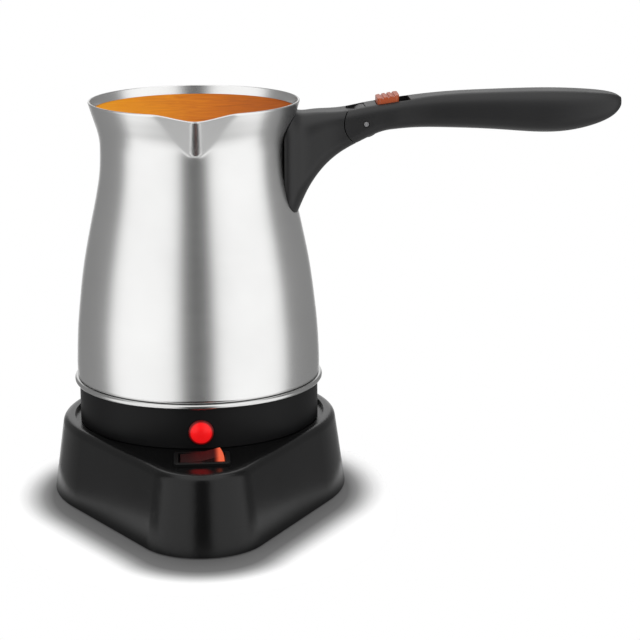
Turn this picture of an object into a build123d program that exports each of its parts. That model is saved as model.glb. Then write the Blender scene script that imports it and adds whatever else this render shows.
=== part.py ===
"""Electric turkish coffee maker: a steel pot with a folding handle on a cordless power base.

Millimetres, +Z up. The origin is on the pot's axis, on the table. +X is the handle's side, -Y is the
front, with the spout, the pilot lamp and the rocker switch. Heights are built up from the table.
"""
from build123d import *
import os
from math import atan, cos, radians, sin, sqrt, tan

os.makedirs("parts", exist_ok=True)

# ---------------------------------------------------------------- clearances
seat_gap = 0.1          # pieces of one body that fit into each other
running_gap = 0.3       # curved faces of pieces that move past each other
pin_fit = 0.05          # radial play of the hinge pin and the rocker's stubs
screw_play = 0.05       # radial play of a screw in its hole

# ---------------------------------------------------------------- vessel
foot_radius = 47.9      # outside, where the vessel stands on its trim ring
waist_radius = 36.7     # outside, at the narrowest
rim_radius = 40.9       # outside, at the flared rim
vessel_height = 103.9
vessel_wall = 0.8
waist_drop = 19.7       # from the rim down to the waist
# The belly's curve: (share of the way up from foot to waist, share of the way from waist to foot radius).
belly_curve = [(0.302, 0.857), (0.586, 0.527), (0.777, 0.214)]

foot_round = 0.4        # the vessel's lower edge

spout_half_width = 15.5
spout_reach = 8.0       # from the rim's radius to where the spout's sides would meet
spout_depth = 16.5      # from the rim down to the end of the spout's fold
spout_nose_round = 5.0
spout_foot_half_width = 8.0    # of the spout's lowest section, inside the vessel

# ---------------------------------------------------------------- power base
foot_height = 0.5       # the feet's height under the housing
base_height = 30.0      # top of the housing's rim
deck_depth = 1.6        # the deck's depth under the rim
deck_gap = 2.4          # between the pot's skirt and the wall of the sunk deck
rim_width = 8.4         # from the foot of the housing's wall to the sunk deck
wall_lean = 4.2         # how far the housing's wall leans in over its height
base_wall = 2.5
nose_radius = 24.5      # the front corner
nose_offset = 5.0       # from the switch's middle to the front corner's centre
rim_round = 3.0
plate_thickness = 2.5
boss_radius = 3.2

# ---------------------------------------------------------------- skirt and heater
skirt_inset = 0.7       # the skirt is this much smaller than the vessel's foot
skirt_lift = 0.25       # running gap between the skirt and the deck
skirt_height = 15.25
skirt_wall = 2.0
trim_height = 6.7
trim_bulge = 1.2        # the bead's bulge past the vessel's foot
bead_height = 3.1       # of the trim ring's bead, under its plain collar
bead_groove = 0.4       # depth of the groove over the bead
heat_plate_thickness = 4.2
heat_plate_inset = 5.9
element_radius = 3.25   # of the tube
element_clear = 3.25    # between the coupler's collar and the tube
element_gap_angle = 50.0

# ---------------------------------------------------------------- coupler
tower_radius = 18.0
tower_height = 8.0      # above the deck
socket_flange = 5.0     # the flange's width under the deck
socket_flange_thickness = 3.0
pin_radius = 2.5
pin_hole_radius = 4.0
ring_radii = [7.7, 13.2]       # inner radii of the neutral and the earth ring
ring_thickness = 0.6
groove_margin = 1.2     # between a ring and its groove
plug_gap = 0.8          # over the tower, with the pot seated
plug_thickness = 3.0
contact_depth = 9.0     # how far the pin and the rings reach down from the plug
collar_play = 1.5       # between the tower's radius and the collar's inside
collar_wall = 2.0

# ---------------------------------------------------------------- switch and lamp
switch_gap = 6.3        # between the pot's skirt and the switch's bezel
bezel_length = 21.0
bezel_width = 15.0
bezel_height = 1.2
switch_body_length = 19.2
switch_body_width = 12.9
switch_body_depth = 14.0
switch_wall = 0.8
rocker_tilt = 9.0       # to each side
rocker_valley = 5.0     # slope of each half of the rocker's top when it stands level
lamp_radius = 4.75
lamp_height = 6.35      # over the skirt's lower edge
lamp_stem_radius = 2.7
lamp_dome = 1.5

# ---------------------------------------------------------------- handle
pin_reach = 29.3        # from the waist's radius to the hinge pin
pin_drop = 8.8          # from the rim down to the hinge pin
hinge_pin_radius = 1.25
barrel_radius = 8.3     # of the grip's round end
barrel_gap = 0.35       # around the barrel and around the tongue
tongue_radius = 5.9
neck_half_height = 4.3  # where the tongue joins the root
handle_half_width = 10.0
tongue_half_width = 5.15
fork_half_width = 5.5
grip_length = 100.3     # from the hinge pin to the grip's end
latch_travel = 4.0
button_reach = 4.7      # from the hinge pin to the latch button
button_length = 8.4
button_width = 12.0
button_height = 2.4     # at the end by the pin
button_slope = 1.4      # how much higher its other end is
rib_count = 4

# ---------------------------------------------------------------- derived heights and radii
deck_z = base_height - deck_depth
skirt_z = deck_z + skirt_lift
skirt_top_z = skirt_z + skirt_height
vessel_z = skirt_top_z + trim_height
rim_z = vessel_z + vessel_height
waist_z = rim_z - waist_drop
heat_plate_z = vessel_z - heat_plate_thickness
tower_top_z = deck_z + tower_height
plug_z = tower_top_z + plug_gap
plug_top_z = plug_z + plug_thickness
skirt_radius = foot_radius - skirt_inset
skirt_inner = skirt_radius - skirt_wall
base_radius = skirt_radius + deck_gap + rim_width
switch_place = skirt_radius + switch_gap + bezel_width / 2      # in front of the pot's axis
nose_length = switch_place + nose_offset        # from the pot's axis to the front corner's centre
collar_inner = tower_radius + collar_play
element_ring_radius = collar_inner + collar_wall + element_clear + element_radius
pin_x = waist_radius + pin_reach
pin_z = rim_z - pin_drop
barrel_space = barrel_radius + barrel_gap
fork_space = tongue_radius + barrel_gap


def pick_outline(inset):
    """The housing's plan, moved in by inset: a round back and a front corner, joined by tangents."""
    Circle(base_radius - inset)
    with Locations((0, -nose_length)):
        Circle(nose_radius - inset)
    make_hull()


def lean_at(z):
    """How far the housing's leaning wall has come in at height z."""
    return wall_lean * (z - foot_height) / (base_height - foot_height)


def disc(radius, z_low, z_high, places=((0, 0),), mode=Mode.ADD):
    """Upright cylinders of one radius between two heights."""
    with BuildSketch(Plane.XY.offset(z_low)) as profile:
        with Locations(*places):
            Circle(radius)
    extrude(profile.sketch, amount=z_high - z_low, mode=mode)


def tube(outer, inner, z_low, z_high, places=((0, 0),)):
    """Upright tubes between two heights."""
    with BuildSketch(Plane.XY.offset(z_low)) as profile:
        with Locations(*places):
            Circle(outer)
            Circle(inner, mode=Mode.SUBTRACT)
    extrude(profile.sketch, amount=z_high - z_low)


def block(length, width, centre, z_low, z_high, mode=Mode.ADD):
    """An upright block over a rectangle in plan."""
    with BuildSketch(Plane.XY.offset(z_low)) as profile:
        with Locations(centre):
            Rectangle(length, width)
    extrude(profile.sketch, amount=z_high - z_low, mode=mode)


def cross_barrel(radius, half_width, centre, mode=Mode.ADD):
    """A cylinder along Y about a point (x, z)."""
    with BuildSketch(Plane.XZ) as profile:
        with Locations(centre):
            Circle(radius)
    extrude(profile.sketch, amount=half_width, both=True, mode=mode)


def around(count, radius, first_angle):
    """Plan points evenly round a circle."""
    step = 360 / count
    angles = [radians(first_angle + step * turn) for turn in range(count)]
    return [(radius * cos(angle), radius * sin(angle)) for angle in angles]


def lead(points, radius, bend):
    """One insulated lead along straight runs with rounded corners."""
    with BuildLine() as run:
        FilletPolyline(*points, radius=bend)
    with BuildSketch(Plane(origin=run.line @ 0, z_dir=run.line % 0)) as profile:
        Circle(radius)
    sweep(profile.sketch, path=run.line)


# ================================================================ base
floor_z = foot_height
ceiling_z = deck_z - base_wall
plate_top_z = floor_z + plate_thickness
socket_flange_z = ceiling_z - socket_flange_thickness
rear_screw_radius = base_radius - 9.0
front_screw_y = 12.0 - nose_length
base_screw_places = around(1, rear_screw_radius, 60) + around(1, rear_screw_radius, 120)
base_screw_places += [(3.5 - nose_radius, front_screw_y), (nose_radius - 3.5, front_screw_y)]
foot_places = around(1, base_radius - 12, 25) + around(1, base_radius - 12, 155)
foot_places += [(-nose_radius / 2, -nose_length - 5.0), (nose_radius / 2, -nose_length - 5.0)]
socket_screw_places = around(3, tower_radius + socket_flange / 2 + 0.4, 90)
gland_z = 10.9
gland_half = 5.9
gland_bore_radius = 3.3
gland_inner_y = base_radius - 9.0
gland_outer_y = base_radius + 4.0
slot_top_z = gland_z + gland_half + seat_gap

with BuildPart() as base_shell:
    # Leaning outer wall with a rounded shoulder.
    with BuildSketch(Plane.XY.offset(floor_z)):
        pick_outline(0)
    with BuildSketch(Plane.XY.offset(base_height)):
        pick_outline(wall_lean)
    loft(ruled=True)
    fillet(base_shell.edges().group_by(Axis.Z)[-1], rim_round)
    # Hollow under the deck.
    with BuildSketch(Plane.XY.offset(floor_z)):
        pick_outline(base_wall)
    with BuildSketch(Plane.XY.offset(ceiling_z)):
        pick_outline(base_wall + lean_at(ceiling_z))
    loft(ruled=True, mode=Mode.SUBTRACT)
    # Sunk deck.
    with BuildSketch(Plane.XY.offset(deck_z)):
        pick_outline(rim_width)
    extrude(amount=deck_depth, mode=Mode.SUBTRACT)
    # Screw bosses under the deck, then their pilot holes.
    disc(boss_radius, plate_top_z, ceiling_z, base_screw_places)
    disc(1.25, plate_top_z, plate_top_z + 12, base_screw_places, mode=Mode.SUBTRACT)
    # Openings for the socket tower, the switch and the cord inlet.
    disc(tower_radius + seat_gap, ceiling_z, deck_z, mode=Mode.SUBTRACT)
    disc(1.05, ceiling_z, ceiling_z + 1.6, socket_screw_places, mode=Mode.SUBTRACT)
    block(
        switch_body_length + 2 * seat_gap,
        switch_body_width + 2 * seat_gap,
        (0, -switch_place),
        ceiling_z - 1,
        deck_z,
        mode=Mode.SUBTRACT,
    )
    block(
        2 * (gland_half + seat_gap), 16, (0, base_radius - 4), floor_z, slot_top_z, mode=Mode.SUBTRACT
    )
base_shell.part.label = "base_shell"
export_step(base_shell.part, "parts/base_shell.step")

rubber_foot_radius = 6.0
foot_sink = 1.6
with BuildPart() as base_plate:
    with BuildSketch(Plane.XY.offset(floor_z)):
        pick_outline(base_wall + lean_at(plate_top_z) + 2 * seat_gap)
    extrude(amount=plate_thickness)
    disc(rubber_foot_radius + seat_gap, floor_z, floor_z + foot_sink, foot_places, mode=Mode.SUBTRACT)
    disc(1.5, floor_z, plate_top_z, base_screw_places, mode=Mode.SUBTRACT)
    disc(2.7, floor_z, floor_z + 1.4, base_screw_places, mode=Mode.SUBTRACT)
base_plate.part.label = "base_plate"
export_step(base_plate.part, "parts/base_plate.step")

with BuildPart() as base_feet:
    disc(rubber_foot_radius, 0, floor_z + foot_sink, foot_places)
    chamfer(base_feet.edges().group_by(Axis.Z)[0], 0.4)
base_feet.part.label = "base_feet"
export_step(base_feet.part, "parts/base_feet.step")

with BuildPart() as base_screws:
    disc(2.5, floor_z + 0.1, floor_z + 1.4, base_screw_places)
    disc(1.25 - screw_play, floor_z + 1.4, plate_top_z + 9, base_screw_places)
base_screws.part.label = "base_screws"
export_step(base_screws.part, "parts/base_screws.step")

# ---- socket tower: a flange under the deck, a tower through it, a pin hole and two ring grooves
groove_floor_z = plug_z - contact_depth - 1.2
contact_sleeve = 0.8
with BuildPart() as socket_housing:
    disc(tower_radius + socket_flange, socket_flange_z, ceiling_z)
    disc(tower_radius, ceiling_z, tower_top_z)
    fillet(socket_housing.edges().group_by(Axis.Z)[-1], 0.8)
    disc(pin_hole_radius, groove_floor_z, tower_top_z, mode=Mode.SUBTRACT)
    for ring_inner in ring_radii:
        with BuildSketch(Plane.XY.offset(groove_floor_z)):
            Circle(ring_inner + ring_thickness + groove_margin)
            Circle(ring_inner - groove_margin, mode=Mode.SUBTRACT)
        extrude(amount=tower_top_z - groove_floor_z, mode=Mode.SUBTRACT)
    disc(1.1, socket_flange_z, ceiling_z, socket_screw_places, mode=Mode.SUBTRACT)
socket_housing.part.label = "socket_housing"
export_step(socket_housing.part, "parts/socket_housing.step")

with BuildPart() as socket_live_contact:
    tube(pin_hole_radius - seat_gap, pin_radius + running_gap, groove_floor_z, tower_top_z - 2)
socket_live_contact.part.label = "socket_live_contact"
export_step(socket_live_contact.part, "parts/socket_live_contact.step")


def groove_sleeve(ring_inner):
    """A contact sleeve that lines a groove's outer wall."""
    outer = ring_inner + ring_thickness + groove_margin - seat_gap
    tube(outer, outer - contact_sleeve, groove_floor_z, tower_top_z - 2)


with BuildPart() as socket_neutral_contact:
    groove_sleeve(ring_radii[0])
socket_neutral_contact.part.label = "socket_neutral_contact"
export_step(socket_neutral_contact.part, "parts/socket_neutral_contact.step")

with BuildPart() as socket_earth_contact:
    groove_sleeve(ring_radii[1])
socket_earth_contact.part.label = "socket_earth_contact"
export_step(socket_earth_contact.part, "parts/socket_earth_contact.step")

with BuildPart() as socket_screws:
    disc(1.05 - screw_play, socket_flange_z, ceiling_z + 1.4, socket_screw_places)
    disc(2.0, socket_flange_z - 1.4, socket_flange_z, socket_screw_places)
socket_screws.part.label = "socket_screws"
export_step(socket_screws.part, "parts/socket_screws.step")

# ---- rocker switch
bezel_top_z = deck_z + bezel_height
rocker_z = deck_z - 2.0                 # the rocker's pivot
rocker_crown = bezel_top_z + 0.2 - rocker_z
cavity_length = switch_body_length - 2 * switch_wall
cavity_width = switch_body_width - 2 * switch_wall
cavity_floor_z = deck_z - switch_body_depth + 2.5
rocker_radius = cavity_length / 2 - running_gap
rocker_half_width = cavity_width / 2 - running_gap
stub_radius = 0.9

with BuildPart() as switch_housing:
    block(switch_body_length, switch_body_width, (0, -switch_place), deck_z - switch_body_depth, deck_z)
    with BuildSketch(Plane.XY.offset(deck_z)):
        with Locations((0, -switch_place)):
            RectangleRounded(bezel_length, bezel_width, 1.5)
    extrude(amount=bezel_height)
    fillet(switch_housing.edges().group_by(Axis.Z)[-1], 0.4)
    block(cavity_length, cavity_width, (0, -switch_place), cavity_floor_z, bezel_top_z, mode=Mode.SUBTRACT)
    # Bearings for the rocker's stubs, through both long walls below the deck.
    with BuildSketch(Plane.XZ.offset(switch_place)):
        with Locations((0, rocker_z)):
            Circle(stub_radius + pin_fit)
    extrude(amount=switch_body_width / 2, both=True, mode=Mode.SUBTRACT)
switch_housing.part.label = "switch_housing"
export_step(switch_housing.part, "parts/switch_housing.step")

tab_places = [(-6.0, -switch_place), (0, -switch_place), (6.0, -switch_place)]
tab_z = deck_z - switch_body_depth - 5.0
with BuildPart() as switch_terminals:
    with BuildSketch(Plane.XY.offset(tab_z)):
        with Locations(*tab_places):
            Rectangle(0.8, 4.8)
    extrude(amount=5.0)
switch_terminals.part.label = "switch_terminals"
export_step(switch_terminals.part, "parts/switch_terminals.step")

with BuildPart() as switch_neon:
    with BuildSketch(Plane.XZ.offset(switch_place)):
        with Locations((4.5, cavity_floor_z + 1.6)):
            Circle(1.5)
    extrude(amount=3.5, both=True)
switch_neon.part.label = "switch_neon"
export_step(switch_neon.part, "parts/switch_neon.step")

# The rocker's section: a circle about its pivot, cut by a shallow valley above and a chord below.
# At rest its left half is pressed.
rocker_rise = tan(radians(rocker_valley))
tilt = radians(rocker_tilt)
rocker_plane = Plane(
    origin=(0, -switch_place, rocker_z), x_dir=(cos(tilt), 0, sin(tilt)), z_dir=(0, -1, 0)
)
with BuildPart() as switch_rocker:
    with BuildSketch(rocker_plane):
        with BuildLine():
            Polyline(
                (-rocker_radius, -3.5),
                (rocker_radius, -3.5),
                (rocker_radius, rocker_crown + rocker_radius * rocker_rise),
                (0, rocker_crown),
                (-rocker_radius, rocker_crown + rocker_radius * rocker_rise),
                close=True,
            )
        make_face()
        Circle(rocker_radius, mode=Mode.INTERSECT)
    extrude(amount=rocker_half_width, both=True)
    with BuildSketch(rocker_plane):
        Circle(stub_radius)
    extrude(amount=switch_body_width / 2 - 0.1, both=True)
switch_rocker.part.label = "switch_rocker"
export_step(switch_rocker.part, "parts/switch_rocker.step")

# ---- cord inlet, terminal block and inner leads
with BuildPart() as cord_gland:
    block(2 * gland_half, gland_outer_y - 5 - gland_inner_y, (0, (gland_outer_y - 5 + gland_inner_y) / 2),
          plate_top_z + 0.1, gland_z + gland_half)
    block(16, 2.4, (0, gland_inner_y + 1.2), plate_top_z + 0.1, gland_z + gland_half + 2)
    # A tongue closes the wall's slot under the gland, outside the base plate's edge.
    block(2 * gland_half, base_wall - 0.3, (0, base_radius - base_wall / 2 - 0.35), floor_z, plate_top_z + 0.1)
    with BuildSketch(Plane.XZ.offset(-(gland_outer_y - 5))):
        with Locations((0, gland_z)):
            Circle(gland_half)
    extrude(amount=-5)
    fillet(cord_gland.edges().group_by(Axis.Y)[-1], 1.0)
    with BuildSketch(Plane.XZ.offset(-gland_inner_y)):
        with Locations((0, gland_z)):
            Circle(gland_bore_radius)
    extrude(amount=-(gland_outer_y - gland_inner_y), mode=Mode.SUBTRACT)
cord_gland.part.label = "cord_gland"
export_step(cord_gland.part, "parts/cord_gland.step")

terminal_y = gland_inner_y - 14
terminal_places = [(-7.0, terminal_y), (0, terminal_y), (7.0, terminal_y)]
with BuildPart() as terminal_block:
    block(21, 10, (0, terminal_y), plate_top_z, plate_top_z + 9)
    fillet(terminal_block.edges().filter_by(Axis.Z), 1.0)
    disc(2.2, plate_top_z + 2, plate_top_z + 9, terminal_places, mode=Mode.SUBTRACT)
terminal_block.part.label = "terminal_block"
export_step(terminal_block.part, "parts/terminal_block.step")

with BuildPart() as terminal_inserts:
    tube(2.2 - seat_gap, 1.1, plate_top_z + 2, plate_top_z + 7.5, terminal_places)
terminal_inserts.part.label = "terminal_inserts"
export_step(terminal_inserts.part, "parts/terminal_inserts.step")

wire_radius = 1.1
wire_bend = 2.2
wire_top_z = plate_top_z + 12.5
under_switch_z = tab_z - 3.0
insert_top_z = plate_top_z + 7.5
socket_front = -(tower_radius + socket_flange + 25)
with BuildPart() as base_wires:
    # Mains live to the switch.
    lead([(-7, terminal_y, insert_top_z), (-7, terminal_y, wire_top_z), (-6, socket_front, wire_top_z),
          (-6, socket_front, under_switch_z), (-6, -switch_place, under_switch_z),
          (-6, -switch_place, tab_z)], wire_radius, wire_bend)
    # Switched live to the middle of the socket.
    lead([(0, -switch_place, tab_z), (0, -switch_place, under_switch_z), (0, socket_front, under_switch_z),
          (0, socket_front, wire_top_z + 2), (0, 0, wire_top_z + 2), (0, 0, socket_flange_z)],
         wire_radius, wire_bend)
    # Neutral and earth to the socket's rings.
    lead([(0, terminal_y, insert_top_z), (0, terminal_y, wire_top_z), (8.5, 6, wire_top_z),
          (8.5, 6, socket_flange_z)], wire_radius, wire_bend)
    lead([(7, terminal_y, insert_top_z), (7, terminal_y, wire_top_z), (14, 6, wire_top_z),
          (14, 6, socket_flange_z)], wire_radius, wire_bend)
    # Neutral to the switch's lamp.
    lead([(6, -switch_place, tab_z), (6, -switch_place, under_switch_z), (6, socket_front, under_switch_z),
          (6, socket_front, plate_top_z + 7), (6, terminal_y - 5, plate_top_z + 7)],
         wire_radius, wire_bend)
base_wires.part.label = "base_wires"
export_step(base_wires.part, "parts/base_wires.step")

# ================================================================ coupler
lip_height = 1.0
plug_radius = collar_inner - running_gap
with BuildPart() as coupler_plug:
    disc(plug_radius, plug_z, plug_top_z)
coupler_plug.part.label = "coupler_plug"
export_step(coupler_plug.part, "parts/coupler_plug.step")

with BuildPart() as coupler_live_pin:
    disc(pin_radius, plug_z - contact_depth, plug_z)
    fillet(coupler_live_pin.edges().group_by(Axis.Z)[0], 0.8)
coupler_live_pin.part.label = "coupler_live_pin"
export_step(coupler_live_pin.part, "parts/coupler_live_pin.step")

with BuildPart() as coupler_neutral_ring:
    tube(ring_radii[0] + ring_thickness, ring_radii[0], plug_z - contact_depth, plug_z)
coupler_neutral_ring.part.label = "coupler_neutral_ring"
export_step(coupler_neutral_ring.part, "parts/coupler_neutral_ring.step")

with BuildPart() as coupler_earth_ring:
    tube(ring_radii[1] + ring_thickness, ring_radii[1], plug_z - contact_depth, plug_z)
coupler_earth_ring.part.label = "coupler_earth_ring"
export_step(coupler_earth_ring.part, "parts/coupler_earth_ring.step")

# ================================================================ vessel
def vessel_form(grow, bottom_z, corner):
    """The vessel's solid of revolution, its wall moved out by grow, its foot's edge rounded by corner."""
    swell = foot_radius - waist_radius
    belly = [
        (waist_radius + share * swell + grow, vessel_z + rise * (waist_z - vessel_z))
        for rise, share in belly_curve
    ]
    foot = (foot_radius + grow, vessel_z)
    waist = (waist_radius + grow, waist_z)
    rim = (rim_radius + grow, rim_z)
    with BuildPart() as form:
        with BuildSketch(Plane.XZ):
            with BuildLine():
                Spline(foot, *belly, waist, rim, tangents=[(0, 1), (0.3, 1)])
                Polyline(rim, (0, rim_z), (0, vessel_z), foot)
            make_face()
        revolve(axis=Axis.Z)
        disc(foot_radius + 5, vessel_z - 1, bottom_z, mode=Mode.SUBTRACT)
        if corner > 0:
            fillet(form.edges().group_by(Axis.Z)[0], corner)
    return form.part


spout_corner_y = sqrt(rim_radius**2 - spout_half_width**2)
spout_slant = (rim_radius + spout_reach - spout_corner_y) / spout_half_width


def spout_section(z, nose, half_width, shrink):
    """A level section of the spout: two sides that meet in a rounded nose, closed inside the vessel."""
    side_y = half_width * spout_slant - nose
    with BuildSketch(Plane.XY.offset(z)) as section:
        with BuildLine():
            Polyline((-half_width, side_y), (0, -nose), (half_width, side_y), (0, side_y + 12), close=True)
        make_face()
        fillet(section.vertices().sort_by(Axis.Y)[0], spout_nose_round)
        if shrink > 0:
            offset(amount=-shrink, kind=Kind.INTERSECTION)
    return section.sketch.face()


def spout_form(shrink):
    """The pouring spout: its sections move out and widen from the waist up to the rim."""
    # The rounding takes this much off the nose; the lowest section lies just inside the vessel's wall.
    half_angle = atan(1 / spout_slant)
    nose_loss = spout_nose_round * (1 / sin(half_angle) - 1)
    foot_nose = waist_radius + nose_loss - 0.4
    with BuildPart() as form:
        loft([
            spout_section(rim_z - spout_depth, foot_nose, spout_foot_half_width, shrink),
            spout_section(rim_z, rim_radius + spout_reach, spout_half_width, shrink),
        ])
    return form.part


outer_form = vessel_form(0, vessel_z, foot_round)
with BuildPart() as pot_vessel:
    add(outer_form)
    add(spout_form(0))
    add(vessel_form(-vessel_wall, vessel_z + vessel_wall, 4.0), mode=Mode.SUBTRACT)
    add(spout_form(vessel_wall), mode=Mode.SUBTRACT)
pot_vessel.part.label = "pot_vessel"
export_step(pot_vessel.part, "parts/pot_vessel.step")

# ---- trim ring: a polished bead on the skirt, a groove, and a plain collar under the vessel
trim_inner = foot_radius - 2.3
bead_top_z = skirt_top_z + bead_height
with BuildPart() as pot_trim_ring:
    with BuildSketch(Plane.XZ):
        with BuildLine():
            ThreePointArc(
                (foot_radius - bead_groove, skirt_top_z),
                (foot_radius + trim_bulge, skirt_top_z + bead_height / 2),
                (foot_radius - bead_groove, bead_top_z),
            )
            Polyline(
                (foot_radius - bead_groove, bead_top_z),
                (foot_radius, bead_top_z + bead_groove),
                (foot_radius, vessel_z),
                (trim_inner, vessel_z),
                (trim_inner, skirt_top_z),
                (foot_radius - bead_groove, skirt_top_z),
            )
        make_face()
    revolve(axis=Axis.Z)
pot_trim_ring.part.label = "pot_trim_ring"
export_step(pot_trim_ring.part, "parts/pot_trim_ring.step")

with BuildPart() as vessel_seal:
    tube(trim_inner - seat_gap, trim_inner - 2.4, vessel_z - 1.6, vessel_z)
vessel_seal.part.label = "vessel_seal"
export_step(vessel_seal.part, "parts/vessel_seal.step")

# ================================================================ heater, under the vessel
stud_places = around(3, foot_radius - 9.9, 90)
stud_radius = 3.0
stud_screw_radius = 1.25
base_plate_z = skirt_z + 0.35
base_plate_top_z = base_plate_z + 2.0
stud_z = base_plate_top_z + 4.2
element_z = heat_plate_z - element_radius - screw_play
leg_z = element_z - 6.2
terminal_pin_z = leg_z - 2.6

with BuildPart() as heat_plate:
    disc(foot_radius - heat_plate_inset, heat_plate_z, vessel_z)
heat_plate.part.label = "heat_plate"
export_step(heat_plate.part, "parts/heat_plate.step")

with BuildPart() as plate_studs:
    disc(stud_radius, stud_z, heat_plate_z, stud_places)
    disc(stud_screw_radius, stud_z, heat_plate_z - 3, stud_places, mode=Mode.SUBTRACT)
plate_studs.part.label = "plate_studs"
export_step(plate_studs.part, "parts/plate_studs.step")

leg_angles = [180 - element_gap_angle / 2, 180 + element_gap_angle / 2]
leg_places = [
    (element_ring_radius * cos(radians(angle)), element_ring_radius * sin(radians(angle)))
    for angle in leg_angles
]
with BuildPart() as heating_element:
    with BuildLine() as ring_path:
        CenterArc((0, 0, element_z), element_ring_radius, leg_angles[1], 360 - element_gap_angle)
    with BuildSketch(Plane(origin=ring_path.line @ 0, z_dir=ring_path.line % 0)):
        Circle(element_radius)
    sweep(path=ring_path.line)
    disc(element_radius, leg_z, element_z, leg_places)
    with Locations(*[(x, y, element_z) for x, y in leg_places]):
        Sphere(element_radius)
heating_element.part.label = "heating_element"
export_step(heating_element.part, "parts/heating_element.step")

with BuildPart() as element_terminals:
    disc(1.4, terminal_pin_z, leg_z, leg_places)
element_terminals.part.label = "element_terminals"
export_step(element_terminals.part, "parts/element_terminals.step")

thermostat_radius = 10.5
thermostat_z = plug_top_z + 1.0
with BuildPart() as thermostat:
    disc(thermostat_radius, thermostat_z, heat_plate_z)
    fillet(thermostat.edges().group_by(Axis.Z)[0], 0.8)
thermostat.part.label = "thermostat"
export_step(thermostat.part, "parts/thermostat.step")

fuse_radius = 1.8
fuse_half_length = 5.0
with BuildPart() as thermal_fuse:
    with BuildSketch(Plane.YZ):
        with Locations((17.5, heat_plate_z - fuse_radius - screw_play)):
            Circle(fuse_radius)
    extrude(amount=fuse_half_length, both=True)
    with BuildSketch(Plane.YZ):
        with Locations((17.5, heat_plate_z - fuse_radius - screw_play)):
            Circle(0.5)
    extrude(amount=fuse_half_length + 3, both=True)
thermal_fuse.part.label = "thermal_fuse"
export_step(thermal_fuse.part, "parts/thermal_fuse.step")

# ================================================================ skirt and its underside
lamp_z = skirt_z + lamp_height
spot_face_y = skirt_radius - 0.7
ledge_width = 1.7
ledge_height = 1.2
with BuildPart() as pot_skirt:
    tube(skirt_radius, skirt_inner, skirt_z, skirt_top_z)
    tube(skirt_inner, skirt_inner - ledge_width, base_plate_top_z, base_plate_top_z + ledge_height)
    # The ledge stops short of the lamp; the lamp has a flat seat and a hole in the wall.
    block(12, 8, (0, 4 - skirt_inner), base_plate_top_z, base_plate_top_z + ledge_height, mode=Mode.SUBTRACT)
    with BuildSketch(Plane.XZ.offset(spot_face_y)):
        with Locations((0, lamp_z)):
            Circle(lamp_radius + seat_gap)
    extrude(amount=5, mode=Mode.SUBTRACT)
    with BuildSketch(Plane.XZ.offset(spot_face_y)):
        with Locations((0, lamp_z)):
            Circle(lamp_stem_radius + seat_gap)
    extrude(amount=-5, mode=Mode.SUBTRACT)
pot_skirt.part.label = "pot_skirt"
export_step(pot_skirt.part, "parts/pot_skirt.step")

with BuildPart() as pot_base_plate:
    disc(skirt_inner - seat_gap, base_plate_z, base_plate_top_z)
    disc(collar_inner + collar_wall, base_plate_top_z, plug_top_z + lip_height + 0.7)
    disc(collar_inner, base_plate_z, plug_top_z + lip_height + 0.7, mode=Mode.SUBTRACT)
    # A lip carries the plug when the pot is lifted.
    tube(collar_inner, tower_radius + 0.5, plug_z - running_gap - lip_height, plug_z - running_gap)
    disc(stud_radius + 1, base_plate_top_z, stud_z, stud_places)
    disc(1.5, base_plate_z, stud_z, stud_places, mode=Mode.SUBTRACT)
    disc(2.9, base_plate_z, base_plate_z + 3.2, stud_places, mode=Mode.SUBTRACT)
pot_base_plate.part.label = "pot_base_plate"
export_step(pot_base_plate.part, "parts/pot_base_plate.step")

with BuildPart() as plug_retainer:
    tube(collar_inner - seat_gap, collar_inner - 2.0, plug_top_z + running_gap,
         plug_top_z + running_gap + lip_height)
plug_retainer.part.label = "plug_retainer"
export_step(plug_retainer.part, "parts/plug_retainer.step")

with BuildPart() as pot_screws:
    disc(2.6, base_plate_z + 1.4, base_plate_z + 3.2, stud_places)
    disc(stud_screw_radius - screw_play, base_plate_z + 3.2, stud_z + 6, stud_places)
pot_screws.part.label = "pot_screws"
export_step(pot_screws.part, "parts/pot_screws.step")

# ---- pilot lamp on the front of the skirt, turned about a line along Y
lamp_axis = Axis((0, 0, lamp_z), (0, 1, 0))
lamp_back_y = -skirt_inner + 5
lamp_edge_y = -spot_face_y - 1.1        # where the dome starts
lamp_bulb_radius = 1.5
with BuildPart() as lamp_lens:
    with BuildSketch(Plane.XY.offset(lamp_z)):
        with BuildLine():
            Polyline(
                (0, lamp_edge_y - lamp_dome),
                (0, lamp_back_y),
                (lamp_stem_radius, lamp_back_y),
                (lamp_stem_radius, -spot_face_y),
                (lamp_radius, -spot_face_y),
                (lamp_radius, lamp_edge_y),
            )
            RadiusArc(
                (lamp_radius, lamp_edge_y),
                (0, lamp_edge_y - lamp_dome),
                (lamp_radius**2 + lamp_dome**2) / (2 * lamp_dome),
            )
        make_face()
        with Locations((0, lamp_back_y)):
            Rectangle(
                lamp_bulb_radius + running_gap,
                spot_face_y + lamp_back_y,
                align=(Align.MIN, Align.MAX),
                mode=Mode.SUBTRACT,
            )
    revolve(axis=lamp_axis)
lamp_lens.part.label = "lamp_lens"
export_step(lamp_lens.part, "parts/lamp_lens.step")

with BuildPart() as lamp_bulb:
    with BuildSketch(Plane.XZ.offset(spot_face_y - 0.3)):
        with Locations((0, lamp_z)):
            Circle(lamp_bulb_radius)
    extrude(amount=-8)
lamp_bulb.part.label = "lamp_bulb"
export_step(lamp_bulb.part, "parts/lamp_bulb.step")

holder_radius = 3.8
with BuildPart() as lamp_holder:
    with BuildSketch(Plane.XZ.offset(sqrt(skirt_inner**2 - holder_radius**2) - seat_gap)):
        with Locations((0, lamp_z)):
            Circle(holder_radius)
            Circle(lamp_stem_radius + seat_gap, mode=Mode.SUBTRACT)
    extrude(amount=-2.4)
lamp_holder.part.label = "lamp_holder"
export_step(lamp_holder.part, "parts/lamp_holder.step")

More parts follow.
